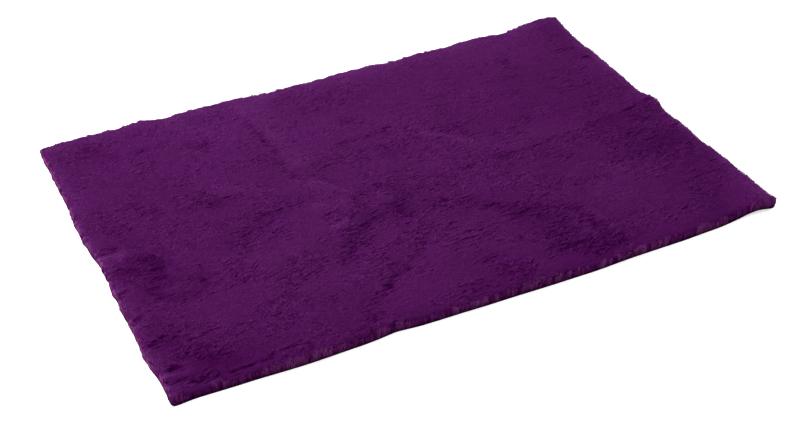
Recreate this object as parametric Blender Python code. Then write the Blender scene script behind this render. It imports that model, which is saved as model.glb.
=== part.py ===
"""Fleece pet mat: one cut rectangle of deep purple fleece, lying flat on the floor.

The mat is one piece of cloth. A dense pile stands on its own knitted ground, and
the four sides are plain scissor cuts, so the outline wanders by a few millimetres
and the pile rounds over at the cut. The mat is one closed solid with a flat
underside. Only at two corners and at one ripple does the cloth lift off the floor.

X runs along the long side, Y from the front edge to the back edge, Z up. The
origin is the centre of the mat's box, on the floor. Lengths are in metres, and
the tables below are in millimetres and degrees.
"""

import math

import bmesh
import bpy

MM = 0.001

# Driving dimensions
LENGTH = 750 * MM  # the cut, left to right
WIDTH = 498 * MM  # the cut, front to back
THICKNESS = 15 * MM  # knitted ground and pile together
CORNER_RADIUS = 5 * MM  # the pile rounds each corner in plan
EDGE_FADE = 90 * MM  # how far in from a side its wandering dies out
FLAT_BELOW = 0.02 * MM  # a lift smaller than this is the floor

# The grid of the top face: cells along and across, and how far they crowd to the rim
CELLS_ALONG = 66
CELLS_ACROSS = 44
CROWDING = 0.4

# The section of the cut side, from the top face down to the underside.
# inset: how far in from the outermost pile. level: height as a share of the thickness.
SIDE_SECTION = (
    # inset, level
    (5.0, 1.00),
    (2.2, 0.94),
    (0.6, 0.80),
    (0.0, 0.55),
    (0.4, 0.18),
    (1.4, 0.00),
)

# How far each side strays outwards from a straight cut.
# along: place on the side. out: outwards, so a notch is negative.
FRONT_CUT = (
    # along, out
    (-375, -1.5),
    (-350, -3.5),
    (-300, -2.0),
    (-225, 0.5),
    (-160, -0.5),
    (-136, -2.5),
    (-120, -4.5),
    (-102, -1.0),
    (-60, 0.0),
    (0, 1.5),
    (75, 3.0),
    (120, 3.5),
    (180, 1.5),
    (240, 1.5),
    (290, 0.0),
    (325, -3.0),
    (350, -4.0),
    (375, -2.0),
)
BACK_CUT = (
    # along, out
    (-375, 1.0),
    (-350, 3.0),
    (-270, 2.5),
    (-240, 6.5),
    (-215, -1.5),
    (-180, 2.0),
    (-120, 2.0),
    (-75, -4.0),
    (-30, -1.5),
    (0, -3.5),
    (40, 0.0),
    (75, -1.0),
    (105, -5.5),
    (140, -1.5),
    (185, -3.5),
    (240, 1.0),
    (285, -5.0),
    (315, -0.5),
    (345, 4.0),
    (375, 4.5),
)
LEFT_CUT = (
    # along, out
    (-249, 1.0),
    (-210, 0.0),
    (-165, 2.5),
    (-135, 0.5),
    (-60, 0.5),
    (-15, -2.5),
    (30, 1.0),
    (68, 2.5),
    (110, 0.0),
    (140, -2.5),
    (180, -2.0),
    (249, -2.5),
)
RIGHT_CUT = (
    # along, out
    (-249, 2.5),
    (-230, 2.5),
    (-180, 3.0),
    (-130, 2.5),
    (-105, -1.0),
    (-60, 0.5),
    (-20, 1.0),
    (2, 2.5),
    (30, -3.5),
    (75, -3.0),
    (130, -4.0),
    (180, -5.0),
    (215, -2.5),
    (249, 1.0),
)

# Where the whole cloth stands off the floor. Each is a long round bump.
# x, y: its middle. reach, half_width: to where it has died out, along and across.
# turn: from the X axis, anticlockwise. rise: height at the middle.
LIFTS = (
    # x, y, reach, half_width, turn, rise
    (376, -2, 95, 22, 4, 6.5),
    (350, -250, 95, 30, 78, 6.0),
    (380, 258, 60, 40, 40, 5.0),
)

# The pile's own ridges and hollows on the top face, in the same columns.
PILE_FORMS = (
    # x, y, reach, half_width, turn, rise
    # shallow hollows at the left, where the pile is pressed apart
    (-328, -40, 62, 46, 20, -2.6),
    (-300, -98, 50, 30, -35, -2.0),
    (-212, 38, 46, 30, -15, -1.8),
    (-172, -18, 95, 26, 20, -2.0),
    (-312, 198, 56, 38, 0, -1.8),
    (-190, 163, 34, 26, 0, -1.2),
    # the two long valleys that cross the front half
    (-98, -182, 140, 26, 38, -2.6),
    (-88, -92, 66, 26, 42, -2.4),
    (-12, -66, 84, 26, 0, -2.4),
    (66, -106, 84, 28, -42, -2.6),
    (124, -168, 84, 44, -78, -2.8),
    (142, -224, 90, 34, -8, -2.4),
    (18, -206, 46, 30, 0, -1.6),
    # hollows at the right, the first beside the ripple
    (330, -26, 130, 24, 0, -2.6),
    (335, -92, 60, 30, -10, -2.4),
    (262, -92, 42, 20, -15, -1.8),
    # soft ridges between them
    (238, -108, 60, 18, -48, 2.0),
    (-104, 20, 66, 18, -46, 2.0),
    (92, 34, 62, 18, -50, 1.8),
    (-33, -32, 26, 22, 0, 2.0),
    (-98, -52, 46, 18, 50, 1.8),
    (-184, 54, 46, 18, -30, 1.6),
    (-115, 195, 70, 22, 88, 1.4),
    # the creases by the front left corner, and the pit behind them
    (-320, -232, 62, 13, 0, -4.2),
    (-300, -216, 60, 12, 4, 1.6),
    (-360, -206, 16, 13, 0, -4.0),
)

# Finish of the fleece
FLEECE_COLOUR = (0.078, 0.009, 0.088, 1.0)
FLEECE_ROUGHNESS = 0.95
FLEECE_METALLIC = 0.0


def clear_scene():
    for thing in list(bpy.data.objects):
        bpy.data.objects.remove(thing, do_unlink=True)


def smooth(share):
    """Ease from 0 to 1."""
    share = min(max(share, 0.0), 1.0)
    return share * share * (3.0 - 2.0 * share)


def crowded(share):
    """Move evenly spaced shares of a side towards its two ends."""
    return (1.0 - CROWDING) * share + CROWDING * 0.5 * (1.0 - math.cos(math.pi * share))


def cut_line(table, along):
    """How far outwards a side lies at this place on it, eased between the table's rows."""
    along /= MM
    if along <= table[0][0]:
        return table[0][1] * MM
    for (start, out), (end, next_out) in zip(table, table[1:]):
        if along <= end:
            share = smooth((along - start) / (end - start))
            return (out + (next_out - out) * share) * MM
    return table[-1][1] * MM


def long_bump(x, y, row):
    """Height that one row of LIFTS or PILE_FORMS adds at a place."""
    middle_x, middle_y, reach, half_width, turn, rise = row
    away_x = x / MM - middle_x
    away_y = y / MM - middle_y
    angle = math.radians(turn)
    along = (away_x * math.cos(angle) + away_y * math.sin(angle)) / reach
    across = (away_y * math.cos(angle) - away_x * math.sin(angle)) / half_width
    left = 1.0 - along * along - across * across
    return rise * MM * left * left if left > 0.0 else 0.0


def lift(x, y):
    """Height of the underside over the floor."""
    height = sum(long_bump(x, y, row) for row in LIFTS)
    return height if height > FLAT_BELOW else 0.0


def pile_height(x, y):
    """Height of the pile's tips over the underside."""
    return THICKNESS + sum(long_bump(x, y, row) for row in PILE_FORMS)


def round_corner(x, y):
    """Pull a point near a corner in, so that square rings become rings with round corners."""
    centre_x = LENGTH / 2 - CORNER_RADIUS
    centre_y = WIDTH / 2 - CORNER_RADIUS
    past_x = abs(x) - centre_x
    past_y = abs(y) - centre_y
    if past_x <= 0.0 or past_y <= 0.0:
        return x, y
    scale = max(past_x, past_y) / math.hypot(past_x, past_y)
    round_x = math.copysign(centre_x + past_x * scale, x)
    round_y = math.copysign(centre_y + past_y * scale, y)
    return round_x, round_y


def stray(x, y):
    """Move a point of the straight rectangle to where the uneven cut puts it."""
    near_right = smooth(1.0 - (LENGTH / 2 - x) / EDGE_FADE)
    near_left = smooth(1.0 - (LENGTH / 2 + x) / EDGE_FADE)
    near_back = smooth(1.0 - (WIDTH / 2 - y) / EDGE_FADE)
    near_front = smooth(1.0 - (WIDTH / 2 + y) / EDGE_FADE)
    out_x = near_right * cut_line(RIGHT_CUT, y) - near_left * cut_line(LEFT_CUT, y)
    out_y = near_back * cut_line(BACK_CUT, x) - near_front * cut_line(FRONT_CUT, x)
    return x + out_x, y + out_y


def place(along, across, inset):
    """Plan position for shares of the two sides, on a rectangle pulled in by the inset."""
    x = (along - 0.5) * (LENGTH - 2 * inset)
    y = (across - 0.5) * (WIDTH - 2 * inset)
    return stray(*round_corner(x, y))


def rim_shares():
    """Shares along and across for the grid's border, anticlockwise from the front left."""
    alongs = [crowded(i / CELLS_ALONG) for i in range(CELLS_ALONG + 1)]
    acrosses = [crowded(j / CELLS_ACROSS) for j in range(CELLS_ACROSS + 1)]
    front = [(along, 0.0) for along in alongs[:-1]]
    right = [(1.0, across) for across in acrosses[:-1]]
    back = [(along, 1.0) for along in reversed(alongs[1:])]
    left = [(0.0, across) for across in reversed(acrosses[1:])]
    return front + right + back + left


def ring(mesh, inset, level):
    """One closed ring of points round the cut side."""
    points = []
    for along, across in rim_shares():
        x, y = place(along, across, inset)
        points.append(mesh.verts.new((x, y, lift(x, y) + level * pile_height(x, y))))
    return points


def top_face(mesh):
    """The grid of the top. Returns its border, in the order of a ring."""
    inset = SIDE_SECTION[0][0] * MM
    rows = []
    for j in range(CELLS_ACROSS + 1):
        row = []
        for i in range(CELLS_ALONG + 1):
            x, y = place(crowded(i / CELLS_ALONG), crowded(j / CELLS_ACROSS), inset)
            row.append(mesh.verts.new((x, y, lift(x, y) + pile_height(x, y))))
        rows.append(row)
    for near, far in zip(rows, rows[1:]):
        for i in range(CELLS_ALONG):
            mesh.faces.new((near[i], near[i + 1], far[i + 1], far[i]))
    front = rows[0][:-1]
    right = [row[-1] for row in rows[:-1]]
    back = rows[-1][:0:-1]
    left = [row[0] for row in rows[:0:-1]]
    return front + right + back + left


def bottom_face(mesh, border):
    """The grid of the underside, inside its own border, with its flat part as few faces."""
    inset = SIDE_SECTION[-1][0] * MM
    around = dict(zip(rim_shares(), border))
    rows = []
    for j in range(CELLS_ACROSS + 1):
        row = []
        for i in range(CELLS_ALONG + 1):
            shares = (crowded(i / CELLS_ALONG), crowded(j / CELLS_ACROSS))
            if shares in around:
                row.append(around[shares])
                continue
            x, y = place(*shares, inset)
            row.append(mesh.verts.new((x, y, lift(x, y))))
        rows.append(row)
    faces = []
    for near, far in zip(rows, rows[1:]):
        for i in range(CELLS_ALONG):
            faces.append(mesh.faces.new((near[i], far[i], far[i + 1], near[i + 1])))
    flat = [face for face in faces if max(corner.co.z for corner in face.verts) == 0.0]
    bmesh.ops.dissolve_faces(mesh, faces=flat)


def side_faces(mesh, rings):
    """Bands of faces between one ring of the cut side and the next below it."""
    count = len(rings[0])
    for upper, lower in zip(rings, rings[1:]):
        for k in range(count):
            after = (k + 1) % count
            mesh.faces.new((upper[k], lower[k], lower[after], upper[after]))


def rest_on_origin(mesh):
    """Shift the mat so that its box's centre is over the origin, with the floor at zero."""
    xs = [vert.co.x for vert in mesh.verts]
    ys = [vert.co.y for vert in mesh.verts]
    middle_x = (min(xs) + max(xs)) / 2
    middle_y = (min(ys) + max(ys)) / 2
    for vert in mesh.verts:
        vert.co.x -= middle_x
        vert.co.y -= middle_y


def fleece_material():
    material = bpy.data.materials.new("purple_fleece")
    material.use_nodes = True
    shader = material.node_tree.nodes["Principled BSDF"]
    shader.inputs["Base Color"].default_value = FLEECE_COLOUR
    shader.inputs["Roughness"].default_value = FLEECE_ROUGHNESS
    shader.inputs["Metallic"].default_value = FLEECE_METALLIC
    material.diffuse_color = FLEECE_COLOUR
    return material


def fleece_mat():
    """The mat: top face, cut sides and underside as one closed mesh."""
    mesh = bmesh.new()
    rings = [top_face(mesh)]
    rings += [ring(mesh, inset * MM, level) for inset, level in SIDE_SECTION[1:]]
    side_faces(mesh, rings)
    bottom_face(mesh, rings[-1])
    bmesh.ops.triangulate(mesh, faces=mesh.faces)
    rest_on_origin(mesh)
    data = bpy.data.meshes.new("fleece_mat")
    mesh.to_mesh(data)
    mesh.free()
    data.shade_smooth()
    data.set_sharp_from_angle(angle=math.radians(60))
    data.materials.append(fleece_material())
    mat = bpy.data.objects.new("fleece_mat", data)
    bpy.context.scene.collection.objects.link(mat)
    return mat


clear_scene()
fleece_mat()
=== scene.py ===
"""The looks of the fleece pet mat: its pile, its cut sides, colour and light.

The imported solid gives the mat's outline, thickness and main folds. This script
surveys that solid, makes a finer cloth body on the same form, with the pile's
creases and clumps, and then grows the pile on it: short leaning locks on the top
and long upright ones down the cut sides, joined into a few meshes.

Lengths are in metres. The tables are in millimetres and degrees, in the frame's
own axes: X along the long side, Y from the front edge to the back, Z up.
"""

import math

import bpy
import numpy as np
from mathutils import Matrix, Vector
from mathutils.bvhtree import BVHTree


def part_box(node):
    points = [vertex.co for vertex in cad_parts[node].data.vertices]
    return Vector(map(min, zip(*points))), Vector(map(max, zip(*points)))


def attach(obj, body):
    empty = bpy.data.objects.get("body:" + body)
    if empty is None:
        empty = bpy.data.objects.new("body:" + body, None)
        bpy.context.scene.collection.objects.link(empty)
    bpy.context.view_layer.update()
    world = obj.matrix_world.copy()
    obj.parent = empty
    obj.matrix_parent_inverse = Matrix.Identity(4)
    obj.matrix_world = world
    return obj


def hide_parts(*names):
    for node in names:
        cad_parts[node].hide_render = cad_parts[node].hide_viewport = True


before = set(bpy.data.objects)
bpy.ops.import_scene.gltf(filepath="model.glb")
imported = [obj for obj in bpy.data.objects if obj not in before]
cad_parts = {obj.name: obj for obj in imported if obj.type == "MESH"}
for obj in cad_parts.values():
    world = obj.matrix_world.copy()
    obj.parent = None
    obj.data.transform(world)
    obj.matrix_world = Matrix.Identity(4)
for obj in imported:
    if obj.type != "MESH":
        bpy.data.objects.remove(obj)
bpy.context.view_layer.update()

MM = 0.001
NODE = "fleece_mat"

# ------------ driving sizes

SEED = 7

# Survey of the solid
SURVEY_STEP = 3 * MM
SURVEY_HEIGHTS = (4 * MM, 8 * MM, 12 * MM)
SURVEY_BLUR = 2  # steps on each side of a place
SURVEY_TRIM = 8 * MM  # it stays this far inside the solid's box
SURVEY_FAR = 100 * MM  # its rays start this far outside the box
LEAST_LIFT = 0.15 * MM  # a smaller lift of the underside counts as none
EDGE_FADE = 90 * MM  # how far in from a side its wandering dies out
CORNER_RADIUS = 4 * MM

NICK = 1.1 * MM  # the cut of the left side strays by this much, in short waves
NICK_FADE = 10 * MM  # how far in from that side they die out

# How far the right side's pile stands out from the surveyed solid
RIGHT_TRIM = (
    # y, shift
    (-252, 2.2), (-241, -3.4), (-226, -4.6), (-190, -3.0), (-140, -1.5),
    (-100, -0.4), (-60, -1.0), (-28, -2.9), (0, -1.2), (60, -1.0),
    (130, 1.2), (180, 0.2), (250, -1.0),
)

# The same for the back and the front, near their right corners
BACK_TRIM = (
    # x, shift
    (285, 0.0), (322, 1.4), (346, 2.0), (357, 0.0), (365, -3.5),
    (371, -6.5),
)
FRONT_TRIM = (
    # x, shift
    (335, 0.0), (356, -1.6), (371, -3.8),
)

# The body under the pile's tips
BODY_STEP = 3.4 * MM
BODY_SINK = 1.2 * MM  # the body's top lies this far under the tips
LEAST_BODY = 6 * MM  # the body is at least this thick
UNDERSIDE_EVERY = 4  # the underside has one line for this many of the top's
UNDERSIDE_INSET = 4 * MM  # its grid ends this far within the body's foot
# inset: how far in from the outermost pile. level: share of the height. The first
# rows, down to the rim, also shape the top's shoulder.
RIM_ROWS = 5
SIDE_SECTION = (
    # inset, level
    (4.5, 1.00), (3.0, 0.99), (1.8, 0.96), (1.0, 0.88), (0.5, 0.72),
    (0.3, 0.48), (0.2, 0.26), (0.2, 0.13), (0.5, 0.00),
)

# The pile on the top: short locks that lean with the nap
LOCK_STEP = 1.25 * MM  # one lock for each square of this side
LOCK_LENGTH = 3.5 * MM
LOCK_RADIUS = 0.76 * MM  # at the root
LOCK_ROOT = 0.9 * MM  # how deep the root is set into the body
LENGTH_SHARES = (0.72, 1.12)  # the shortest and the longest lock
RADIUS_SHARES = (0.8, 1.2)
TOP_PIECES = 4  # the top's locks are shared out over this many meshes
TOP_INSET = 1.0 * MM  # the outermost of them stand this far in
BLUNT = 0.72  # a long lock keeps its width up to this share of its length
ASKEW = (0.31, 0.87, 0.38)  # a direction off the locks' own

# Degrees: the heading from X, and the lean from upright. They swing over the mat, twist
# from clump to clump and spread from lock to lock.
NAP_HEADING = -8.0
HEADING_SWING = 25.0
HEADING_TWIST = 36.0
HEADING_SPREAD = 9.0
NAP_LEAN = 48.0
LEAN_SWING = 4.0
LEAN_SPREAD = 3.5
THREAD_LEAN = 6.0
NAP_BEND = 0.15  # a lock curves on along the nap
NAP_DROOP = 0.08  # and down
NAP_SLOPE = 0.05  # how far threads and streaks turn from X

SHOULDER = 4.5 * MM  # the pile's top rounds off over this much at a side
SHOULDER_TILT = 34.0  # degrees, at the side itself
# Light comes through the pile along a rim, but the front rim lies in shade.
RIM_TONES = (
    # side, tone of the rim, reach, tone of the cut side
    ("back", 0.50, 11.0, 0.24),
    ("left", 0.50, 4.5, 0.28),
    ("right", 0.78, 6.0, 0.50),
    ("front", -0.13, 26.0, 0.0),
)
LOCK_TONE_SPREAD = 0.115
THREAD_TONE = 0.058  # threads of pile that mat together along the mat
FLECKS = 0.006  # share of the locks that catch the light
FLECK_TONE = 0.30
FLECK = 0.02  # how much the tone differs round a lock
PARTING = 0.7  # how far the pile leans away from a crease
SOFTNESS = 0.76  # share of the cloth's own direction in a lock's shading
UV_STEP = 0.02  # keeps the corners of one ring apart on the lock's map
TONE_LIMITS = (0.01, 0.99)

# The pile at the cut sides: rows of long upright locks
SIDE_STEP = 0.86 * MM
# inset and root: where a row stands. length and lean: how it reaches up and out.
SIDE_ROWS = (
    # inset, root, length, lean, radius
    (2.0, 1.6, 13.6, 1, 0.62),
    (1.2, 2.2, 12.6, 2, 0.62),
    (0.7, 1.4, 12.0, 2, 0.60),
    (0.3, 2.4, 9.0, 3, 0.58),
    (0.2, 1.2, 6.4, 3, 0.56),
)

ROW_DROP = 0.5 * MM  # how much lower the outermost rows' tips stay
TUFT_GATHER = 5.0 * MM  # how strongly tips lean towards the middle of their tuft
TUFT_LEAN = 9.0  # degrees that a tuft leans out
TUFT_TONE = 0.32
STRAND_TONE = 0.36
TUFT_RISE = 2.4 * MM  # how much higher a tuft's tips stand
STRAY_LEAN = 10.0  # degrees that a few tufts stick out by
STRAY_TONE = 0.15
SIDE_LEAN_SPREAD = 3.0  # degrees
SIDE_SWAY_SPREAD = 5.0  # degrees
SIDE_LENGTH_SHARES = (0.9, 1.06)
SIDE_BENDS = (0.0, 0.06)
SIDE_UP = 0.4  # how far upwards the cut sides' shading is turned
SIDE_TONE = 0.5  # share of the relief's tone that the cut sides take
CORNER_TURN = 6 * MM  # the pile turns round a corner over this much
CORNER_SHARE = 0.8
# The cut pile gets neater between these places,
NEAT_X = (352 * MM, 362 * MM)
NEAT_Y = (236 * MM, 244 * MM)
# and the top's pile between these, by this share.
EVEN_X = (-140 * MM, 260 * MM)
EVEN_Y = (-120 * MM, 180 * MM)
EVEN_SHARE = 0.4

# The relief map: heights over the solid's own form, on a raster in plan
MAP_STEP = 0.6 * MM
MAP_MARGIN = 20 * MM
# For a parting of strength 1, with painted shade in its groove and painted light on its
# ledge:
GROOVE_DEPTH = 0.5
GROOVE_SHADE = 0.66
LEDGE_PLACE = 1.6  # the pile behind stands proud this far from its middle
LEDGE_HALF_WIDTH = 1.1
LEDGE_HEIGHT = 0.15
LEDGE_LIGHT = 0.15
TICK_HALF_WIDTHS = (0.40, 0.75)
TICK_WANDER = 0.9
TICK_BOW = 0.05
TICK_PAD = 3  # the window round one reaches past its ends
FIELD_REACH = (0.25, 1.0)  # shares of a field's length and depth
FIELD_DEPTH = (0.25, 1.1)
# On a fold:
FOLD_PAD = 2.6  # in half widths, as the next two
FOLD_WAVER = 0.45
FOLD_SCATTER = 0.8  # of its partings
FOLD_UNEVEN = 0.6
FOLD_REACH = (2.5, 8.5)
FOLD_TURN, FOLD_SPREAD = 3, 9  # degrees
FOLD_DEPTH = (0.4, 1.2)
# Combed streaks set in between these places.
COMBED_X = (-180 * MM, 120 * MM)
COMBED_Y = (260 * MM, 0)

# Colours, from the darkest stop to the lightest
BODY_COLOURS = (
    (0.00, (0.016, 0.0004, 0.018)),
    (1.00, (0.064, 0.0066, 0.073)),
)
# The knitted ground: its own dark knit, near black, with painted shade where the mat meets
# the floor.
GROUND_AND_SHADE_COLOURS = (
    (0.00, (0.004, 0.0006, 0.005)),
    (1.00, (0.026, 0.0030, 0.030)),
)
# A lock's, from root to tip: darker towards the root, painted shade down in the pile
TOP_COLOURS = (
    (0.00, (0.056, 0.0048, 0.063)),
    (0.45, (0.091, 0.0152, 0.103)),
    (1.00, (0.121, 0.0270, 0.135)),
)
# A cut side's lock, from root to tip: near black at the root, the dense base of the pile
# with painted shade where it meets the floor; dark along the shaft, painted shade over the
# cut side; a painted highlight at the tip.
SIDE_COLOURS = (
    (0.00, (0.004, 0.0006, 0.004)),
    (0.20, (0.026, 0.0050, 0.025)),
    (0.42, (0.069, 0.0125, 0.065)),
    (0.78, (0.116, 0.0220, 0.110)),
    (1.00, (0.290, 0.0700, 0.276)),
)
# What a lock's tone does to its colour
TONE_STOPS = (
    (0.00, (0.111, 0.000, 0.111)),
    (0.25, (0.333, 0.030, 0.333)),
    (0.50, (0.556, 0.320, 0.556)),
    (1.00, (1.000, 1.000, 1.000)),
)

CLOTH = {
    "Roughness": 0.9,
    "Specular IOR Level": 0.0,
    "Sheen Weight": 0.03,
    "Sheen Roughness": 0.45,
    "Sheen Tint": (0.70, 0.20, 0.85, 1),
}
GRAIN = {"Scale": 900, "Detail": 4}
KNIT = {"Distortion": 0.6, "Detail": 1, "Detail Scale": 2}
RIB_PITCH, STITCH_PITCH = 1.6 * MM, 1.1 * MM

# Floor, light and camera
FLOOR_SIZE = 12
FLOOR_DROP = 0.2 * MM  # keeps the floor off the underside
FLOOR_LOOK = {
    "Base Color": (0.92, 0.92, 0.92, 1),
    "Roughness": 0.9,
    "Specular IOR Level": 0.1,
    "Emission Color": (1, 1, 1, 1),
    "Emission Strength": 0.45,
}
SKY = 1.2
KEY_PLACE = (-1.4, 1.6, 2.2)
KEY_SIZE = 1.6
KEY_POWER = 150
AIM = (-0.0230, -0.0530, 0.0)
AZIMUTH, ELEVATION = -26.6, 36.37  # degrees
DISTANCE = 1.7355
LENS, SENSOR = 65.9, 36.0

# ------------ tables

# Soft troughs and ridges, each along its own line: the pile lies apart there, or is
# pushed up. ticks: short partings on each 10 mm of the line.
# tone: painted shade along a trough, painted light along a ridge.
FOLDS = (
    # half_width, rise, tone, ticks, corners of the line
    (15, -0.5, -0.15, 4, (-372, -34), (-350, -32), (-328, -30), (-318, -42),
     (-324, -62), (-338, -74)),
    (22, -0.2, -0.07, 2, (-346, -34), (-326, -38)),
    (11, -0.4, -0.12, 4, (-342, -90), (-322, -102), (-298, -108), (-284, -98), (-281, -84)),
    (12, -0.5, -0.14, 8, (-226, 44), (-206, 42)),
    (12, -0.2, -0.05, 2, (-262, 92), (-240, 66), (-226, 50)),
    (11, -0.2, -0.06, 6, (-228, -62), (-216, -40), (-194, -20), (-166, -8),
     (-142, -3), (-122, 0)),
    (7, -0.2, -0.07, 5, (-70, -34), (-60, -18), (-44, -12), (-28, -16)),
    (14, -0.3, -0.09, 4, (-16, -44), (-30, -60), (-28, -76)),
    (9, -0.3, -0.06, 6, (-56, -64), (-72, -70), (-92, -87), (-112, -104), (-126, -130)),
    (9, -0.3, -0.06, 6, (0, -74), (30, -78), (54, -90), (74, -110),
     (90, -128), (114, -134)),
    (15, -0.1, -0.06, 3, (80, -128), (112, -132), (126, -144), (122, -164)),
    (22, -0.1, -0.03, 2, (90, -150), (108, -190), (128, -222)),
    (14, -0.2, -0.09, 4, (118, -198), (128, -222), (148, -238), (178, -230)),
    (6, -0.2, -0.06, 8, (150, -150), (158, -176), (160, -204)),
    (9, -0.3, -0.06, 7, (-152, -244), (-138, -218), (-120, -200), (-106, -186)),
    (6, -0.2, -0.04, 6, (-106, -186), (-86, -175), (-66, -158), (-50, -146), (-34, -134)),
    (10, -0.3, -0.07, 5, (8, -184), (20, -200), (26, -222)),
    (9, -0.3, -0.08, 5, (-24, -232), (4, -234)),
    (14, -0.3, -0.14, 4, (-318, 214), (-306, 190)),
    (8, -0.3, -0.09, 5, (-278, 180), (-262, 184)),
    (9, -0.5, -0.15, 6, (-202, 168), (-184, 162)),
    (9, -0.3, -0.09, 3, (-338, 48), (-340, 16)),
    (10, -0.3, -0.09, 4, (-312, 78), (-290, 50)),
    (5, -0.5, -0.14, 6, (-374, 8), (-352, 10)),
    (3, -0.2, -0.08, 4, (-126, 206), (-121, 176), (-120, 150), (-115, 112),
     (-120, 66), (-112, 40)),
    (14, -0.2, -0.09, 4, (-74, 216), (-50, 222)),
    (8, -0.2, -0.07, 5, (-22, 196), (-4, 198)),
    (9, -0.2, -0.07, 4, (-18, 134), (8, 132)),
    (4, -0.1, -0.04, 5, (-40, 92), (36, 94)),
    (15, -0.2, -0.07, 3, (14, 44), (52, 46)),
    (10, -0.2, -0.09, 4, (38, -36), (54, -38)),
    (6, -0.3, -0.04, 3, (94, 62), (108, 58), (122, 34)),
    (2.4, 0.0, -0.01, 3, (372, 3), (330, -4), (290, -12), (240, -17),
     (180, -21), (76, -24)),
    (3.0, -0.2, -0.06, 2, (374, 3), (350, 0), (322, -4)),
    (16, -0.2, -0.06, 1, (372, -14), (340, -16), (292, -14)),
    (26, -0.1, -0.03, 1, (296, -30), (312, -66), (326, -90)),
    (20, -0.2, -0.07, 4, (352, -82), (328, -92)),
    (9, -0.2, -0.07, 3, (232, -92), (268, -98), (300, -92)),
    (28, -0.1, -0.05, 2, (352, -130), (318, -190)),
    (6, -0.2, -0.08, 7, (246, 176), (246, 158)),
    (3, -0.3, -0.08, 4, (328, 162), (350, 164)),
    (6, -0.5, -0.12, 8, (350, 138), (354, 128)),
    (20, -0.1, -0.07, 2, (340, 236), (350, 214)),
    (2.0, -1.1, -0.22, 2, (-350, -235), (-326, -238), (-304, -239)),
    (1.8, -0.9, -0.17, 3, (-304, -239), (-280, -238), (-262, -236)),
    (1.8, -0.7, -0.12, 3, (-262, -236), (-244, -233), (-226, -232)),
    (2.8, -1.1, -0.24, 4, (-372, -226), (-356, -227), (-346, -233)),
    (3.4, -1.4, -0.30, 4, (-366, -208), (-354, -205)),
    (2.4, 0.5, 0.14, 0, (-368, -236), (-350, -241), (-322, -244)),
    (2.4, 0.5, 0.12, 0, (-370, -217), (-344, -219)),
    (2.6, -1.2, -0.20, 3, (-378, -71), (-362, -69)),
    (3.0, -1.0, -0.16, 3, (-378, -120), (-364, -117)),
    (3.6, -0.6, -0.12, 4, (-376, -166), (-358, -160)),
    (18, -0.2, -0.09, 3, (-352, -150), (-334, -190), (-310, -216)),
    (2.0, -0.2, -0.06, 3, (131, -16), (133, -58)),
    (10, 0.7, 0.22, 0, (-372, -6), (-352, -4)),
    (9, 0.3, 0.11, 0, (-206, 66), (-186, 54), (-164, 38)),
    (4, 0.6, 0.15, 0, (-116, 34), (-104, 18), (-84, 4)),
    (4, 0.6, 0.14, 0, (-102, 28), (-84, 14), (-72, -6), (-58, -24)),
    (5, 0.6, 0.14, 0, (70, 60), (88, 46), (104, 26), (116, 12)),
    (11, 0.4, 0.15, 0, (-112, 72), (-90, 72)),
    (8, 0.7, 0.18, 0, (-112, -68), (-98, -60)),
    (11, 0.4, 0.12, 0, (-112, -18), (-92, -24)),
    (9, 0.7, 0.14, 0, (-38, -32), (-32, -38)),
    (4, 0.6, 0.14, 0, (228, -92), (240, -108), (254, -122)),
    (3, 0.4, 0.08, 0, (134, -58), (137, -84), (138, -112)),
    (3, 0.4, 0.08, 0, (172, -180), (176, -216)),
    (16, 0.3, 0.09, 0, (-110, 226), (-100, 140), (-94, 90)),
)

# Where short partings lie scattered over a wider field.
TICK_FIELDS = (
    # x, y, reach_x, reach_y, count, length, depth, turn, spread
    (40, -175, 150, 80, 1000, 8.5, 1.0, 3, 12),
    (122, -190, 62, 56, 140, 13.0, 1.0, 4, 11),
    (-130, -90, 130, 60, 750, 8.0, 1.0, 3, 13),
    (-270, -150, 110, 100, 750, 8.0, 0.9, 2, 13),
    (230, -110, 150, 120, 700, 11.0, 0.9, 2, 10),
    (300, -40, 85, 45, 80, 15.0, 0.8, 2, 9),
    (-250, 120, 130, 130, 1500, 4.2, 0.9, 0, 22),
    (-40, 120, 110, 120, 650, 5.5, 0.8, 0, 16),
    (60, 20, 150, 70, 650, 8.0, 0.8, 0, 12),
    (230, 60, 140, 80, 500, 9.0, 0.7, 0, 11),
    (220, 190, 150, 60, 220, 5.5, 0.6, 0, 18),
    (-60, -236, 310, 13, 420, 5.0, 0.9, 5, 22),
    (-335, -215, 40, 34, 130, 7.0, 1.0, 8, 18),
    (0, 0, 370, 245, 2600, 6.0, 0.7, 1, 14),
    (80, -226, 105, 20, 420, 8.0, 1.0, 5, 18),
    (-40, -222, 60, 22, 120, 8.0, 0.9, 4, 16),
)

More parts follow.
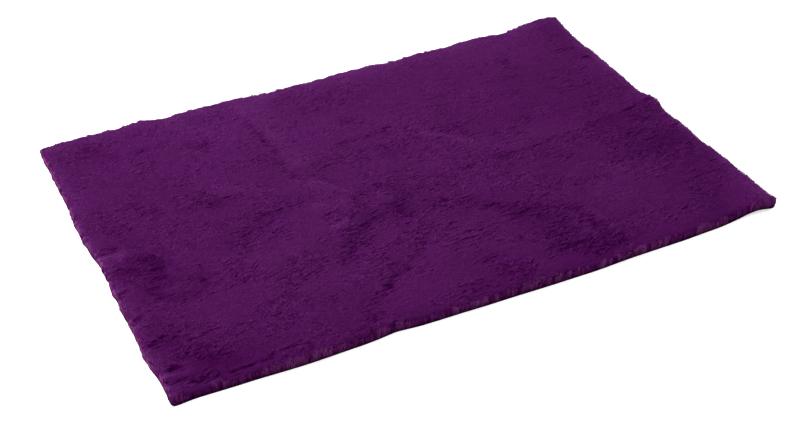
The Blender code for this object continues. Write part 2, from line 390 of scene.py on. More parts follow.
# Broad patches of tone: the pile lying towards the light or away from it.
PATCHES = (
    # x, y, reach_x, reach_y, tone, turn if any
    (-130, 190, 240, 120, 0.065),
    (0, 20, 150, 60, 0.05),
    (300, 100, 90, 80, -0.01),
    (270, -60, 70, 50, -0.03),
    (-104, 222, 26, 50, 0.07),
    (-175, 200, 50, 40, 0.05),
    (40, 240, 60, 24, 0.07),
    (-370, 150, 22, 120, 0.05),
    (-170, -60, 60, 30, 0.06, 20),
    (-180, -150, 50, 18, 0.06),
    (-115, -145, 30, 25, 0.07),
    (-170, -90, 60, 30, 0.05),
    (0, -130, 60, 40, 0.04),
    (-70, -225, 60, 25, 0.06),
    (225, -150, 45, 40, 0.05),
    (175, 5, 60, 20, 0.05),
    (240, 200, 70, 40, 0.06),
    (366, -215, 12, 20, 0.12),
    (362, -238, 18, 16, 0.12),
    (355, 60, 30, 60, 0.03),
    (-330, -220, 80, 34, -0.07),
    (-330, 205, 60, 40, -0.03),
    (135, -215, 60, 40, -0.03),
    (100, -165, 60, 40, -0.02),
    (230, 50, 110, 40, -0.04),
    (326, -90, 50, 110, -0.07),
    (-340, -34, 22, 20, -0.05),
    (-30, -64, 18, 16, -0.09),
    (44, -92, 26, 12, -0.06),
    (122, -150, 24, 22, -0.045),
    (100, -196, 26, 26, 0.06),
    (-110, -188, 16, 12, 0.06),
    (318, -70, 26, 20, 0.05),
)


# ------------ small mathematics


def smooth(share):
    """Ease from 0 to 1, for numbers or arrays."""
    share = np.clip(share, 0.0, 1.0)
    return share * share * (3.0 - 2.0 * share)


def ease(place, start, end):
    """Ease from 0 at one place to 1 at another."""
    return smooth((place - start) / (end - start))


class Noise:
    """Smooth seeded noise from -1 to 1, on a lattice of cells.

    The cell's size is given in millimetres, and the places to read in metres.
    """

    CELLS = 512

    def __init__(self, cell_x, cell_y, seed):
        self.cell_x, self.cell_y = cell_x * MM, cell_y * MM
        random = np.random.default_rng(SEED * 1000 + seed)
        self.table = random.uniform(-1.0, 1.0, (self.CELLS, self.CELLS))

    def __call__(self, x, y):
        u = np.asarray(x) / self.cell_x + self.CELLS / 2
        v = np.asarray(y) / self.cell_y + self.CELLS / 2
        i, j = np.floor(u).astype(int), np.floor(v).astype(int)
        i1, j1 = (i + 1) % self.CELLS, (j + 1) % self.CELLS
        i0, j0 = i % self.CELLS, j % self.CELLS
        return between(self.table, i0, i1, j0, j1, smooth(u - i), smooth(v - j))


def between(values, i0, i1, j0, j1, fu, fv):
    """Blend of the four points of a raster round each place."""
    near = values[j0, i0] * (1 - fu) + values[j0, i1] * fu
    far = values[j1, i0] * (1 - fu) + values[j1, i1] * fu
    return near * (1 - fv) + far * fv


def bilinear(values, u, v):
    """Reading of a raster between its points, held at its border."""
    u = np.clip(u, 0, values.shape[1] - 1.001)
    v = np.clip(v, 0, values.shape[0] - 1.001)
    i, j = u.astype(int), v.astype(int)
    return between(values, i, i + 1, j, j + 1, u - i, v - j)


def blurred(values, steps):
    """Moving average along an array's only axis, its ends held."""
    width = 2 * steps + 1
    padded = np.pad(values, steps, mode="edge")
    return np.convolve(padded, np.ones(width) / width, mode="valid")


def aligned(x, y, turn):
    """How far places lie along a direction, given in degrees, and across it."""
    cos, sin = math.cos(math.radians(turn)), math.sin(math.radians(turn))
    return x * cos + y * sin, y * cos - x * sin


def unit(rows):
    return rows / np.maximum(np.linalg.norm(rows, axis=-1, keepdims=True), 1e-12)


def turned(first, second, angles):
    """From the first directions towards the second ones, by an angle each."""
    return first * np.cos(angles)[:, None] + second * np.sin(angles)[:, None]


def vectors(x, y, z):
    return np.stack(np.broadcast_arrays(x, y, z), -1)


# ------------ fields of noise
# cell_x, cell_y in mm, seed

# The top's relief
LUMPS = Noise(14, 5, 2)
FINE = Noise(6.5, 2.2, 3)
BROAD = Noise(40, 28, 4)
STREAKS = Noise(24, 3.4, 5)
WAVER_X = Noise(11, 11, 31)
WAVER_Y = Noise(11, 11, 32)
UNEVEN = Noise(13, 9, 33)
TICK_WAVES = Noise(4.5, 7, 34)
CROWDS = Noise(34, 20, 35)
# The top's locks
TURNS = Noise(60, 60, 11)
TWISTS = Noise(6, 4, 12)
LEANS = Noise(14, 14, 13)
RIM_PATCHES = Noise(14, 14, 14)
THREADS = Noise(5, 1.5, 15)
# The cut sides
TUFTS = Noise(11, 11, 23)
TUFT_EDGES = Noise(5, 5, 24)
STRANDS = Noise(2, 4, 25)
STRAYS = Noise(5, 5, 26)
TUFT_GROUPS = Noise(30, 30, 27)
NICKS = Noise(9, 7.5, 41)


# ------------ survey of the solid


def solid_tree():
    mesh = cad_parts[NODE].data
    corners = [vert.co.copy() for vert in mesh.vertices]
    faces = [tuple(face.vertices) for face in mesh.polygons]
    return BVHTree.FromPolygons(corners, faces)


def filled(places, values):
    """Values along a row of places, the missing ones drawn from those beside them."""
    values = np.array(values)
    known = ~np.isnan(values)
    return np.interp(places, places[known], values[known])


def side_line(tree, places, origin, direction):
    """How far the solid reaches towards one side, at each place along that side."""
    along = 1 if direction.x else 0
    across = 1 - along
    reached = []
    for place in places:
        hits = []
        for height in SURVEY_HEIGHTS:
            start = Vector((0, 0, height))
            start[along] = place
            start[across] = origin
            hit = tree.ray_cast(start, direction)[0]
            if hit is not None:
                hits.append(-direction[across] * hit[across])
        reached.append(max(hits, default=np.nan))
    return blurred(filled(places, reached), SURVEY_BLUR)


def surface_map(tree, xs, ys, origin):
    """Height of the solid's top or underside on a raster, as met from the origin."""
    direction = Vector((0, 0, -origin))
    rows = []
    for y in ys:
        row = []
        for x in xs:
            hit = tree.ray_cast(Vector((x, y, origin)), direction)[0]
            row.append(np.nan if hit is None else hit.z)
        rows.append(filled(xs, row))
    heights = np.array(rows)
    for axis in (0, 1):
        heights = np.apply_along_axis(blurred, axis, heights, SURVEY_BLUR)
    return heights


def trimming(places, table):
    """The shifts of a table at these places along a side."""
    at, shift = MM * np.array(table).T
    return np.interp(places, at, shift)


def stray(places, line, place, inset):
    """How far a side's line strays from straight, faded out away from that side."""
    return ease(inset, EDGE_FADE, 0) * (np.interp(place, places, line) - np.median(line))


class Form:
    """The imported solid's outline and surfaces, as smooth functions of place."""

    def __init__(self):
        tree = solid_tree()
        low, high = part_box(NODE)
        far, trim = SURVEY_FAR, SURVEY_TRIM
        self.xs = np.arange(low.x + trim, high.x - trim, SURVEY_STEP)
        self.ys = np.arange(low.y + trim, high.y - trim, SURVEY_STEP)
        self.left = side_line(tree, self.ys, low.x - far, Vector((1, 0, 0)))
        self.right = side_line(tree, self.ys, high.x + far, Vector((-1, 0, 0)))
        self.front = side_line(tree, self.xs, low.y - far, Vector((0, 1, 0)))
        self.back = side_line(tree, self.xs, high.y + far, Vector((0, -1, 0)))
        self.right = self.right + trimming(self.ys, RIGHT_TRIM)
        self.back = self.back + trimming(self.xs, BACK_TRIM)
        self.front = self.front - trimming(self.xs, FRONT_TRIM)
        self.half_x = (np.median(self.left) + np.median(self.right)) / 2
        self.half_y = (np.median(self.front) + np.median(self.back)) / 2
        self.middle_x = (np.median(self.right) - np.median(self.left)) / 2
        self.middle_y = (np.median(self.back) - np.median(self.front)) / 2
        self.map_step = 2 * SURVEY_STEP
        self.map_x = np.arange(low.x + trim, high.x - trim, self.map_step)
        self.map_y = np.arange(low.y + 2 * trim, high.y - 2 * trim, self.map_step)
        self.top_map = surface_map(tree, self.map_x, self.map_y, far)
        self.under_map = surface_map(tree, self.map_x, self.map_y, -far)

    def read(self, heights, x, y):
        u = (x - self.map_x[0]) / self.map_step
        v = (y - self.map_y[0]) / self.map_step
        return bilinear(heights, u, v)

    def top(self, x, y):
        return self.read(self.top_map, x, y)

    def under(self, x, y):
        lift = self.read(self.under_map, x, y)
        return np.where(lift < LEAST_LIFT, 0.0, lift)

    def place(self, x, y):
        """Plan position of a point of the straight rectangle round 0, 0."""
        x, y = round_corner(x, y, self.half_x, self.half_y)
        real_x, real_y = x + self.middle_x, y + self.middle_y
        right = stray(self.ys, self.right, real_y, self.half_x - x)
        left = stray(self.ys, self.left, real_y, self.half_x + x)
        back = stray(self.xs, self.back, real_x, self.half_y - y)
        front = stray(self.xs, self.front, real_x, self.half_y + y)
        nick = NICK * ease(self.half_x + x, NICK_FADE, 0) * NICKS(0 * y, y)
        return real_x + right - left + nick, real_y + back - front


def round_corner(x, y, half_x, half_y):
    """Pull points near a corner in, so that square rings get round corners."""
    past_x = np.abs(x) - (half_x - CORNER_RADIUS)
    past_y = np.abs(y) - (half_y - CORNER_RADIUS)
    inside = (past_x > 0) & (past_y > 0)
    scale = np.maximum(past_x, past_y) / np.maximum(np.hypot(past_x, past_y), 1e-9)
    scale = np.where(inside, scale, 1.0)
    round_x = np.copysign(half_x - CORNER_RADIUS + past_x * scale, x)
    round_y = np.copysign(half_y - CORNER_RADIUS + past_y * scale, y)
    return np.where(inside, round_x, x), np.where(inside, round_y, y)


# ------------ the pile's relief


class Relief:
    """Raster maps in plan: the height that folds and partings add, and the tone, which
    holds painted shade and light along folds, partings and patches.
    """

    def __init__(self):
        low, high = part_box(NODE)
        self.x0 = low.x - MAP_MARGIN
        self.y0 = low.y - MAP_MARGIN
        xs = np.arange(self.x0, high.x + MAP_MARGIN, MAP_STEP)
        ys = np.arange(self.y0, high.y + MAP_MARGIN, MAP_STEP)
        self.x, self.y = np.meshgrid(xs, ys)
        self.height, self.tone, self.grooves, self.ledges = np.zeros((4, *self.x.shape))
        self.random = np.random.default_rng(SEED)
        for row in FOLDS:
            self.fold(*row)
        for row in TICK_FIELDS:
            self.tick_field(*row)
        self.height += MM * (LEDGE_HEIGHT * self.ledges - GROOVE_DEPTH * self.grooves)
        # Painted shade in the partings, painted light on the pile that stands proud behind
        # them.
        self.tone += LEDGE_LIGHT * self.ledges - GROOVE_SHADE * self.grooves
        self.clumps()
        for row in PATCHES:
            self.patch(*row)

    def window(self, low_x, low_y, high_x, high_y):
        """The part of the raster that covers a box given in millimetres."""
        i0, i1 = (max(int((x * MM - self.x0) / MAP_STEP), 0) for x in (low_x, high_x))
        j0, j1 = (max(int((y * MM - self.y0) / MAP_STEP), 0) for y in (low_y, high_y))
        return slice(j0, j1 + 2), slice(i0, i1 + 2)

    def fold(self, half_width, rise, tone, ticks, *line):
        """A soft trough or ridge along a line, with short partings scattered on it: painted
        shade in a trough, painted light on a ridge.
        """
        corners = np.array(line, float)
        pad = FOLD_PAD * half_width + 2
        where = self.window(*(corners.min(0) - pad), *(corners.max(0) + pad))
        x, y = self.x[where] / MM, self.y[where] / MM
        waver = FOLD_WAVER * half_width
        x = x + waver * WAVER_X(x * MM, y * MM)
        y = y + waver * WAVER_Y(x * MM, y * MM)
        away = np.full_like(x, 1e9)
        for start, end in zip(corners[:-1], corners[1:]):
            run = end - start
            share = ((x - start[0]) * run[0] + (y - start[1]) * run[1]) / (run @ run)
            share = np.clip(share, 0.0, 1.0)
            gap = np.hypot(x - start[0] - share * run[0], y - start[1] - share * run[1])
            away = np.minimum(away, gap)
        body = np.exp(-((away / half_width) ** 2))
        uneven = 1.0 + FOLD_UNEVEN * UNEVEN(x * MM, y * MM)
        self.height[where] += rise * MM * body * uneven
        self.tone[where] += tone * body * uneven
        lengths = np.hypot(*(corners[1:] - corners[:-1]).T)
        for _ in range(round(ticks * lengths.sum() / 10)):
            k = self.random.choice(len(lengths), p=lengths / lengths.sum())
            spot = corners[k] + self.random.uniform(0, 1) * (corners[k + 1] - corners[k])
            spot = spot + self.random.normal(0, FOLD_SCATTER * half_width, 2)
            reach = self.random.uniform(*FOLD_REACH)
            turn = FOLD_TURN + self.random.normal(0, FOLD_SPREAD)
            self.tick(*spot, reach, turn, self.random.uniform(*FOLD_DEPTH))

    def tick(self, x, y, reach, turn, depth):
        """One short parting of the pile: a thin groove with tapering ends, in painted
        shade.

        The pile behind it stands a little proud and catches the light.
        """
        half_width = self.random.uniform(*TICK_HALF_WIDTHS)
        pad = reach + TICK_PAD
        where = self.window(x - pad, y - pad, x + pad, y + pad + 1)
        along, across = aligned(self.x[where] / MM - x, self.y[where] / MM - y, turn)
        bow = self.random.normal(0, TICK_BOW)
        across = across + bow * along * along / max(reach, 1)
        across = across + TICK_WANDER * TICK_WAVES(self.x[where], self.y[where])
        ends = smooth(1.2 - 1.2 * (along / reach) ** 2)
        groove = ends * np.exp(-((across / half_width) ** 2))
        ledge = ends * np.exp(-(((across - LEDGE_PLACE) / LEDGE_HALF_WIDTH) ** 2))
        self.grooves[where] = np.maximum(self.grooves[where], depth * groove)
        self.ledges[where] = np.maximum(self.ledges[where], depth * ledge)

    def tick_field(self, x, y, reach_x, reach_y, count, length, depth, turn, spread):
        """Partings over an oval, in crowds with calm cloth between them."""
        random = self.random
        for _ in range(count):
            radius = math.sqrt(random.uniform(0, 1))
            angle = random.uniform(0, 2 * math.pi)
            spot_x = x + reach_x * radius * math.cos(angle)
            spot_y = y + reach_y * radius * math.sin(angle)
            crowd = smooth(0.5 + 1.1 * CROWDS(spot_x * MM, spot_y * MM))
            if random.uniform(0, 1) > crowd:
                continue
            reach = length * random.uniform(*FIELD_REACH)
            heading = turn + spread * random.normal()
            strength = depth * random.uniform(*FIELD_DEPTH)
            self.tick(spot_x, spot_y, reach, heading, strength)

    def clumps(self):
        """Tufts that mat together: soft lumps all over, and combed streaks."""
        x, y = self.x, self.y
        combed = ease(x, *COMBED_X) * ease(y, *COMBED_Y)
        fields = (
            # field, rise, tone
            (LUMPS(x, y), 0.04, 0.008),
            (FINE(x, y), 0.05, 0.016),
            (BROAD(x, y), 0.10, 0.009),
            (combed * STREAKS(x, y - NAP_SLOPE * x), 0.06, 0.024),
        )
        for field, rise, tone in fields:
            self.height += MM * rise * field
            self.tone += tone * field

    def patch(self, x, y, reach_x, reach_y, tone, turn=0):
        """A broad oval of another tone."""
        along, across = aligned(self.x / MM - x, self.y / MM - y, turn)
        self.tone += tone * np.exp(-((along / reach_x) ** 2) - (across / reach_y) ** 2)

    def read(self, values, x, y):
        return bilinear(values, (x - self.x0) / MAP_STEP, (y - self.y0) / MAP_STEP)


# ------------ mesh making


def new_object(name, data):
    thing = bpy.data.objects.new(name, data)
    bpy.context.scene.collection.objects.link(thing)
    return thing


def new_mesh(name, points, faces):
    """An object from an array of points and a list of face arrays of equal rows."""
    mesh = bpy.data.meshes.new(name)
    sizes = np.concatenate([np.full(len(part), part.shape[1]) for part in faces])
    loops = np.concatenate([part.ravel() for part in faces]).astype(np.int32)
    mesh.vertices.add(len(points))
    mesh.vertices.foreach_set("co", points.astype(np.float32).ravel())
    mesh.loops.add(len(loops))
    mesh.loops.foreach_set("vertex_index", loops)
    mesh.polygons.add(len(sizes))
    starts = np.concatenate([[0], np.cumsum(sizes)[:-1]]).astype(np.int32)
    mesh.polygons.foreach_set("loop_start", starts)
    mesh.update(calc_edges=True)
    mesh.validate()
    return new_object(name, mesh)


def grid_faces(rows, columns, first=0, flip=False):
    """Quads of a grid of points that are numbered row by row."""
    j, i = np.meshgrid(np.arange(rows - 1), np.arange(columns - 1), indexing="ij")
    a = first + j * columns + i
    quads = np.stack([a, a + 1, a + columns + 1, a + columns], -1).reshape(-1, 4)
    return quads[:, ::-1] if flip else quads


def border(rows, columns, first=0):
    """A grid's border points, anticlockwise from the front left."""
    grid = first + np.arange(rows * columns).reshape(rows, columns)
    parts = (grid[0, :-1], grid[:-1, -1], grid[-1, :0:-1], grid[:0:-1, 0])
    return np.concatenate(parts)


class Body:
    """The cloth under the pile's tips, closed: top, cut sides and underside."""

    def __init__(self, form, relief):
        self.form, self.relief = form, relief
        coarse = BODY_STEP * UNDERSIDE_EVERY
        self.cells_x = UNDERSIDE_EVERY * round(2 * form.half_x / coarse)
        self.cells_y = UNDERSIDE_EVERY * round(2 * form.half_y / coarse)

    def shares(self, every=1):
        across, along = np.meshgrid(
            np.arange(0, self.cells_y + 1, every) / self.cells_y,
            np.arange(0, self.cells_x + 1, every) / self.cells_x,
            indexing="ij",
        )
        return along, across

    def plan(self, along, across, inset):
        x = (along - 0.5) * 2 * (self.form.half_x - inset)
        y = (across - 0.5) * 2 * (self.form.half_y - inset)
        return self.form.place(x, y)

    def points(self, along, across, inset, level):
        x, y = self.plan(along, across, inset)
        under = self.form.under(x, y)
        top = body_top(self.form, self.relief, x, y)
        z = under + level * np.maximum(top - under, LEAST_BODY)
        return np.stack([x, y, z], -1).reshape(-1, 3)

    def build(self):
        along, across = self.shares()
        rows, columns = along.shape
        points = [self.points(along, across, SIDE_SECTION[0][0] * MM, 1.0)]
        faces = [grid_faces(rows, columns)]
        rim = border(rows, columns)
        rim_along, rim_across = along.ravel()[rim], across.ravel()[rim]
        total = rows * columns
        upper = rim
        for inset, level in SIDE_SECTION[1:]:
            points.append(self.points(rim_along, rim_across, inset * MM, level))
            lower = total + np.arange(len(rim))
            band = np.stack([upper, lower, np.roll(lower, -1), np.roll(upper, -1)], -1)
            faces.append(band)
            total += len(rim)
            upper = lower
        under, under_faces = self.underside(total, upper)
        points = np.concatenate(points + [under])
        thing = new_mesh("fleece_body", points, faces + under_faces)
        # The lowest band of the cut side and the underside take the knitted ground, near
        # black with painted shade at the mat's foot.
        ground = len(band) + sum(len(part) for part in under_faces)
        slots = np.zeros(len(thing.data.polygons), np.int32)
        slots[-ground:] = 1
        thing.data.polygons.foreach_set("material_index", slots)
        return thing

    def underside(self, first, rim):
        """A coarser grid, joined to the rim by a band of triangles."""
        along, across = self.shares(UNDERSIDE_EVERY)
        rows, columns = along.shape
        inset = SIDE_SECTION[-1][0] * MM + UNDERSIDE_INSET
        points = self.points(along, across, inset, 0.0)
        inner = border(rows, columns, first)
        inner_next = np.roll(inner, -1)
        fans = []
        for k in range(UNDERSIDE_EVERY):
            outer = rim[k::UNDERSIDE_EVERY]
            outer_next = np.roll(rim, -1)[k::UNDERSIDE_EVERY]
            fans.append(np.stack([inner, outer_next, outer], -1))
        last = np.roll(rim, -UNDERSIDE_EVERY)[::UNDERSIDE_EVERY]
        fans.append(np.stack([inner, inner_next, last], -1))
        return points, [grid_faces(rows, columns, first, flip=True)] + fans


# ------------ the locks


def across_pair(directions):
    """Two unit vectors at right angles to each direction and to each other."""
    first = unit(np.cross(directions, ASKEW))
    return first, np.cross(directions, first)


def lock_mesh(name, roots, directions, bends, lengths, radii, tones, ups, rings, taper):
    """Three-sided tapering locks, open at the sunk root, joined into one mesh.

    A lock runs from its root along its direction and curves by its bend. Its UV map
    runs from root to tip in U and holds the lock's tone in V.
    """
    count = len(roots)
    first, second = across_pair(directions)
    random = np.random.default_rng(SEED + count)
    turns = random.uniform(0, 2 * math.pi, count)
    points, normals, along, across = [], [], [], []
    for ring in range(rings):
        share = BLUNT * ring / max(rings - 1, 1)
        middle = roots + lengths[:, None] * (directions * share + bends * share * share)
        radius = radii * (1.0 - taper * share)
        for side in range(3):
            turn = turns + side * 2 * math.pi / 3
            outward = turned(first, second, turn)
            points.append(middle + outward * radius[:, None])
            normals.append(unit(outward * (1 - SOFTNESS) + ups * SOFTNESS))
            along.append(share + UV_STEP * side / rings)
            across.append(tones + random.normal(0, FLECK, count))
    points.append(roots + lengths[:, None] * (directions + bends))
    normals.append(unit(directions * (1 - SOFTNESS) + ups * SOFTNESS))
    along.append(1.0)
    across.append(tones)
    per_lock = 3 * rings + 1
    u = np.tile(along, count)
    v = np.clip(np.stack(across, 1).ravel(), *TONE_LIMITS)
    pattern = []
    for ring in range(rings - 1):
        for side in range(3):
            a, b = 3 * ring + side, 3 * ring + (side + 1) % 3
            pattern += [(a, b, b + 3), (a, b + 3, a + 3)]
    top = 3 * (rings - 1)
    pattern += [(top + side, top + (side + 1) % 3, top + 3) for side in range(3)]
    faces = np.array(pattern)[None] + per_lock * np.arange(count)[:, None, None]
    thing = new_mesh(name, np.stack(points, 1).reshape(-1, 3), [faces.reshape(-1, 3)])
    loops = np.zeros(len(thing.data.loops), np.int32)
    thing.data.loops.foreach_get("vertex_index", loops)
    layer = thing.data.uv_layers.new(name="OFBake")
    layer.uv.foreach_set("vector", np.stack([u, v], -1)[loops].astype(np.float32).ravel())
    thing.data.shade_smooth()
    normals = np.stack(normals, 1).reshape(-1, 3)
    thing.data.normals_split_custom_set_from_vertices(normals)
    return thing


def body_top(form, relief, x, y):
    return form.top(x, y) + relief.read(relief.height, x, y) - BODY_SINK


def slopes(form, relief, x, y):
    """Gradient of the body's top."""
    step = MM
    ahead = body_top(form, relief, x + step, y) - body_top(form, relief, x - step, y)
    aside = body_top(form, relief, x, y + step) - body_top(form, relief, x, y - step)
    return ahead / (2 * step), aside / (2 * step)


def rim_level(inset):
    """Share of the full height at which the body lies, this far in from a side."""
    insets, levels = zip(*SIDE_SECTION[:RIM_ROWS])
    return np.interp(inset / MM, insets[::-1], levels[::-1])


def rim_tone(to_x, to_y, x, y):
    """How much lighter the pile is near each side, painted light through the pile, and
    darker along the front, painted shade, by its distance from the sides.
    """
    gaps = {
        "right": np.where(x > 0, to_x, np.inf),
        "left": np.where(x < 0, to_x, np.inf),
        "back": np.where(y > 0, to_y, np.inf),
        "front": np.where(y < 0, to_y, np.inf),
    }
    tones = []
    for side, tone, reach, _ in RIM_TONES:
        tones.append(tone * np.exp(-gaps[side] / (reach * MM)))
    lightest = np.max(tones[:3], axis=0)
    shade = tones[3] * (1 - np.minimum(lightest / 0.4, 1))
    return lightest * (1 + 0.5 * RIM_PATCHES(x, y)) + shade


def cut_tone(out):
    """How much lighter the cut pile is on the side that faces each way, painted light
    through the pile.
    """
    back, left, right, front = (row[3] for row in RIM_TONES)
    across = np.where(out[:, 0] > 0, right, left) * out[:, 0] ** 2
    return across + np.where(out[:, 1] > 0, back, front) * out[:, 1] ** 2


def scattered(form, random):
    """Where the top's locks stand in the straight rectangle, from left to right."""
    reach_x, reach_y = form.half_x - TOP_INSET, form.half_y - TOP_INSET
    xs = np.arange(-reach_x, reach_x, LOCK_STEP)
    ys = np.arange(-reach_y, reach_y, LOCK_STEP)
    x, y = (part.ravel() for part in np.meshgrid(xs, ys))
    x = np.clip(x + LOCK_STEP * random.uniform(-0.5, 0.5, len(x)), -reach_x, reach_x)
    y = np.clip(y + LOCK_STEP * random.uniform(-0.5, 0.5, len(y)), -reach_y, reach_y)
    order = np.argsort(x, kind="stable")
    return x[order], y[order]


def unrest(x, y):
    """How unevenly the pile lies by place."""
    even = EVEN_SHARE * ease(x, *EVEN_X) * ease(y, *EVEN_Y)
    return (1 - even) * (0.6 + 0.8 * smooth(0.5 + 1.2 * CROWDS(x, y)))


def nap_angles(x, y, stir, thread, random):
    """Each lock's heading and lean, in radians."""
    spread = stir * random.normal(0, HEADING_SPREAD, len(x))
    twist = HEADING_TWIST * stir * TWISTS(x, y)
    heading = NAP_HEADING + HEADING_SWING * TURNS(x, y) + twist + spread
    spread = stir * random.normal(0, LEAN_SPREAD, len(x))
    lean = NAP_LEAN + LEAN_SWING * LEANS(x, y) + spread + THREAD_LEAN * stir * thread
    return np.radians(heading), np.radians(lean)


def top_locks(form, relief):
    """The top's pile, as several meshes side by side."""
    random = np.random.default_rng(SEED + 1)
    x, y = scattered(form, random)
    count = len(x)
    to_x, to_y = form.half_x - np.abs(x), form.half_y - np.abs(y)
    inset = np.minimum(to_x, to_y)
    rim = ease(inset, SHOULDER, 0)
    tilt = np.radians(SHOULDER_TILT) * rim
    out_x, out_y = ease(to_x, SHOULDER, 0), ease(to_y, SHOULDER, 0)
    out = unit(vectors(np.sign(x) * out_x, np.sign(y) * out_y, 0.0))

    x, y = form.place(x, y)
    slope_x, slope_y = slopes(form, relief, x, y)
    up = unit(vectors(-slope_x, -slope_y, 1.0))
    stir = unrest(x, y)
    thread = THREADS(x, y - NAP_SLOPE * x)
    heading, lean = nap_angles(x, y, stir, thread, random)
    nap = vectors(np.cos(heading), np.sin(heading), 0.0)
    direction = unit(turned(up, nap, lean) + PARTING * vectors(slope_x, slope_y, 0.0))

    under = form.under(x, y)
    tuft = tufts(x, y)
    height = rim_level(inset) * (body_top(form, relief, x, y) - under)
    root = vectors(x, y, under + height + TUFT_RISE * tuft * rim) - up * LOCK_ROOT
    length = LOCK_LENGTH * random.uniform(*LENGTH_SHARES, count)
    radius = LOCK_RADIUS * random.uniform(*RADIUS_SHARES, count)
    tone = 0.5 + relief.read(relief.tone, x, y) + THREAD_TONE * stir * thread
    tone = tone + stir * random.normal(0, LOCK_TONE_SPREAD, count)
    tone = tone + FLECK_TONE * (random.uniform(0, 1, count) < FLECKS * stir)
    tone = tone + rim_tone(to_x, to_y, x, y) + strands(x, y, tuft) * rim
    locks = {
        "roots": root,
        "directions": unit(turned(direction, out, tilt)),
        "bends": NAP_BEND * nap - NAP_DROOP * up,
        "lengths": length,
        "radii": radius,
        "tones": tone,
        "ups": unit(turned(up, out, tilt)),
    }
    made = []
    for k, part in enumerate(np.array_split(np.arange(count), TOP_PIECES)):
        share = {key: values[part] for key, values in locks.items()}
        made.append(lock_mesh(f"pile_top_{k + 1}", rings=1, taper=1.0, **share))
    return made


def rim_walk(form, inset, random):
    """Places round the cut sides, with the outward direction at each."""
    half = np.array([form.half_x - inset, form.half_y - inset])
    around = 4 * (half[0] + half[1])
    s = np.arange(0, around, SIDE_STEP)
    s = (s + SIDE_STEP * random.uniform(-0.5, 0.5, len(s))) % around
    # The front runs to the right, the right side to the back, and so on.
    runs = np.array([(1, 0), (0, 1), (-1, 0), (0, -1)])
    outs = np.stack([runs[:, 1], -runs[:, 0]], -1)
    lengths = 2 * half[[0, 1, 0, 1]]
    starts = np.cumsum(lengths) - lengths
    side = np.searchsorted(starts, s, side="right") - 1
    walked = (s - starts[side])[:, None] * runs[side]
    x, y = ((outs - runs)[side] * half + walked).T
    near_x = ease(half[0] - np.abs(x), CORNER_TURN, 0)
    near_y = ease(half[1] - np.abs(y), CORNER_TURN, 0)
    corner = vectors(np.sign(x) * near_x, np.sign(y) * near_y, 0.0)
    out = vectors(*outs[side].T, 0.0)
    return *form.place(x, y), unit(out + CORNER_SHARE * corner)


def loose(x, y):
    """How loosely the cut pile hangs: it is neater at the right and at the back."""
    right, back = ease(x, *NEAT_X), ease(y, *NEAT_Y)
    return 1 - 0.6 * right - 0.4 * (1 - right) * back


def tufts(x, y):
    """The cut pile gathers into tufts: from -1 between them to 1 on them, by place."""
    rounded = 2.0 * np.abs(TUFTS(x, y)) - 0.7 + 0.35 * TUFT_GROUPS(x, y)
    return loose(x, y) * np.clip(rounded + 0.6 * TUFT_EDGES(x, y), -1.0, 1.0)


def strands(x, y, tuft):
    """How light or dark the cut pile is by place: its tufts, and the strands in them."""
    return TUFT_TONE * np.minimum(tuft, 0.4) + STRAND_TONE * STRANDS(x + y, x - y)


def side_row(form, relief, random, inset, root, length, lean, radius):
    """One row of locks round the cut sides, as lock_mesh takes them."""
    x, y, out = rim_walk(form, inset * MM, random)
    count = len(x)
    up = np.array([0.0, 0.0, 1.0])
    aside = vectors(-out[:, 1], out[:, 0], 0.0)
    tuft = tufts(x, y)
    ahead = tufts(x + MM * aside[:, 0], y + MM * aside[:, 1])
    gather = TUFT_GATHER * (ahead - tuft) / (length * MM)
    # Tufts stray on the straight runs only.
    straight = smooth(4 * np.abs(np.abs(out[:, 0]) - np.abs(out[:, 1])) - 2.8)
    stray = loose(x, y) ** 2 * straight * smooth(3 * STRAYS(x, y) - 0.9)
    spread = random.normal(0, SIDE_LEAN_SPREAD, count)
    lean = np.radians(lean + TUFT_LEAN * tuft + STRAY_LEAN * stray + spread)
    sway = gather + np.radians(random.normal(0, SIDE_SWAY_SPREAD, count))
    direction = unit(up + out * np.tan(lean)[:, None] + aside * sway[:, None])

    under = form.under(x, y)
    room = form.top(x, y) + relief.read(relief.height, x, y) - under
    room = room - root * MM - ROW_DROP * smooth(1 - inset / 2.5)
    lengths = length * MM * random.uniform(*SIDE_LENGTH_SHARES, count)
    bend = out * random.uniform(*SIDE_BENDS, count)[:, None]
    radii = radius * MM * random.uniform(*RADIUS_SHARES, count)
    tone = 0.5 + SIDE_TONE * relief.read(relief.tone, x, y) + cut_tone(out)
    tone = tone + strands(x, y, tuft) + STRAY_TONE * stray
    return {
        "roots": vectors(x, y, under + root * MM),
        "directions": direction,
        "bends": bend,
        "lengths": np.minimum(lengths, room) + TUFT_RISE * tuft,
        "radii": radii,
        "tones": tone + random.normal(0, LOCK_TONE_SPREAD, count),
        "ups": unit(out + SIDE_UP * up),
    }


def side_locks(form, relief):
    """The pile that shows at the cut: upright rows that splay out a little."""
    random = np.random.default_rng(SEED + 2)
    rows = [side_row(form, relief, random, *row) for row in SIDE_ROWS]
    joined = {key: np.concatenate([row[key] for row in rows]) for key in rows[0]}
    return lock_mesh("pile_sides", rings=2, taper=0.5, **joined)


# ------------ materials


def fill(node, values):
    for name, value in values.items():
        node.inputs[name].default_value = value


def add(tree, kind, values={}, sources={}, **settings):
    """A new node: values and sources go into its inputs."""
    node = tree.nodes.new(f"ShaderNode{kind}")
    for name, value in settings.items():
        setattr(node, name, value)
    fill(node, values)
    for name, source in sources.items():
        tree.links.new(source, node.inputs[name])
    return node


def new_material(name, look):
    """A material, its node tree and its shader."""
    material = bpy.data.materials.new(name)
    material.use_nodes = True
    tree = material.node_tree
    shader = tree.nodes["Principled BSDF"]
    fill(shader, look)
    return material, tree, shader


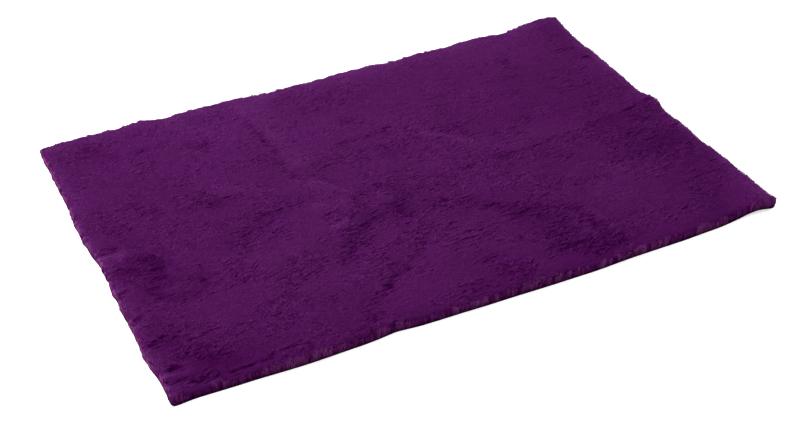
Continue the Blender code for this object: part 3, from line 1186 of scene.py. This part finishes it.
def color_ramp(tree, factor, stops):
    ramp = add(tree, "ValToRGB", {}, {"Fac": factor})
    elements = ramp.color_ramp.elements
    while len(elements) < len(stops):
        elements.new(0.5)
    for element, (share, color) in zip(elements, stops):
        element.position = share
        element.color = (*color, 1)
    return ramp.outputs["Color"]


def finish_cloth(tree, shader, color, height, strength, distance):
    """Give a shader its colour, and bumps of a height."""
    values = {"Strength": strength, "Distance": distance}
    bump = add(tree, "Bump", values, {"Height": height})
    tree.links.new(bump.outputs["Normal"], shader.inputs["Normal"])
    tree.links.new(color, shader.inputs["Base Color"])


def body_material():
    """The shade between the locks, a little lighter where the pile is."""
    material, tree, shader = new_material("fleece_body", {**CLOTH, "Roughness": 0.95})
    tone = add(tree, "Attribute", attribute_name="tone")
    color = color_ramp(tree, tone.outputs["Fac"], BODY_COLOURS)
    place = add(tree, "TexCoord")
    grain = add(tree, "TexNoise", GRAIN, {"Vector": place.outputs["Object"]})
    finish_cloth(tree, shader, color, grain.outputs["Fac"], 0.6, 0.8 * MM)
    return material


def ground_and_shade_material():
    """The knitted ground, near black with painted shade at the mat's foot: fine ribs one
    way, stitches the other way.
    """
    material, tree, shader = new_material("fleece_ground_and_shade", CLOTH)
    place = add(tree, "TexCoord")
    waves = {}
    for k, (direction, pitch) in enumerate((("X", RIB_PITCH), ("Y", STITCH_PITCH))):
        values = {"Scale": math.pi / 10 / pitch, **KNIT}
        source = {"Vector": place.outputs["Object"]}
        wave = add(tree, "TexWave", values, source, bands_direction=direction)
        waves[k] = wave.outputs["Fac"]
    knit = add(tree, "Math", {}, waves, operation="MULTIPLY").outputs["Value"]
    color = color_ramp(tree, knit, GROUND_AND_SHADE_COLOURS)
    finish_cloth(tree, shader, color, knit, 0.8, 0.5 * MM)
    return material


def lock_material(name, stops):
    """Colour by place on the lock, from root to tip, darker towards the root as painted
    shade, and by the lock's own tone.
    """
    material, tree, shader = new_material(name, CLOTH)
    place = add(tree, "UVMap", uv_map="OFBake")
    split = add(tree, "SeparateXYZ", {}, {"Vector": place.outputs["UV"]})
    along = color_ramp(tree, split.outputs["X"], stops)
    strength = color_ramp(tree, split.outputs["Y"], TONE_STOPS)
    shade = add(tree, "VectorMath", {}, {0: along, 1: strength}, operation="MULTIPLY")
    tree.links.new(shade.outputs["Vector"], shader.inputs["Base Color"])
    return material


def set_tone(thing, relief):
    """Store the relief's tone on a mesh, point by point."""
    places = np.zeros(len(thing.data.vertices) * 3, np.float32)
    thing.data.vertices.foreach_get("co", places)
    x, y, _ = places.reshape(-1, 3).T
    values = 0.5 + relief.read(relief.tone, x, y)
    layer = thing.data.attributes.new("tone", "FLOAT", "POINT")
    layer.data.foreach_set("value", values.astype(np.float32))


# ------------ floor, light, camera


def studio_floor():
    place = (0, 0, -FLOOR_DROP)
    bpy.ops.mesh.primitive_plane_add(size=FLOOR_SIZE, location=place)
    floor = bpy.context.object
    floor.name = "studio_floor"
    floor.data.materials.append(new_material("studio_floor", FLOOR_LOOK)[0])


def key_light():
    lamp = bpy.data.lights.new("key", "AREA")
    lamp.shape = "SQUARE"
    lamp.size = KEY_SIZE
    lamp.energy = KEY_POWER
    thing = new_object("key", lamp)
    thing.location = KEY_PLACE
    thing.rotation_euler = (-Vector(KEY_PLACE)).to_track_quat("-Z", "Y").to_euler()


def studio():
    studio_floor()
    world = bpy.data.worlds.new("studio")
    bpy.context.scene.world = world
    world.use_nodes = True
    sky = {"Color": (1, 1, 1, 1), "Strength": SKY}
    fill(world.node_tree.nodes["Background"], sky)
    key_light()
    bpy.context.scene.view_settings.view_transform = "Standard"


def camera():
    data = bpy.data.cameras.new("camera")
    data.lens = LENS
    data.sensor_width = SENSOR
    thing = new_object("camera", data)
    azimuth, elevation = math.radians(AZIMUTH), math.radians(ELEVATION)
    back = Vector((
        math.sin(azimuth) * math.cos(elevation),
        -math.cos(azimuth) * math.cos(elevation),
        math.sin(elevation),
    ))
    thing.location = Vector(AIM) + DISTANCE * back
    thing.rotation_euler = back.to_track_quat("Z", "Y").to_euler()
    bpy.context.scene.camera = thing


# ------------ the mat

form = Form()
relief = Relief()
mat = Body(form, relief).build()
mat.data.shade_smooth()
mat.data.materials.append(body_material())
mat.data.materials.append(ground_and_shade_material())
set_tone(mat, relief)

locks = top_locks(form, relief)
for thing in locks:
    thing.data.materials.append(lock_material("fleece_pile", TOP_COLOURS))
cut = side_locks(form, relief)
cut.data.materials.append(lock_material("fleece_cut", SIDE_COLOURS))
locks.append(cut)
for thing in locks:
    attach(thing, "root")

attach(mat, "root")
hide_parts(NODE)

studio()
camera()
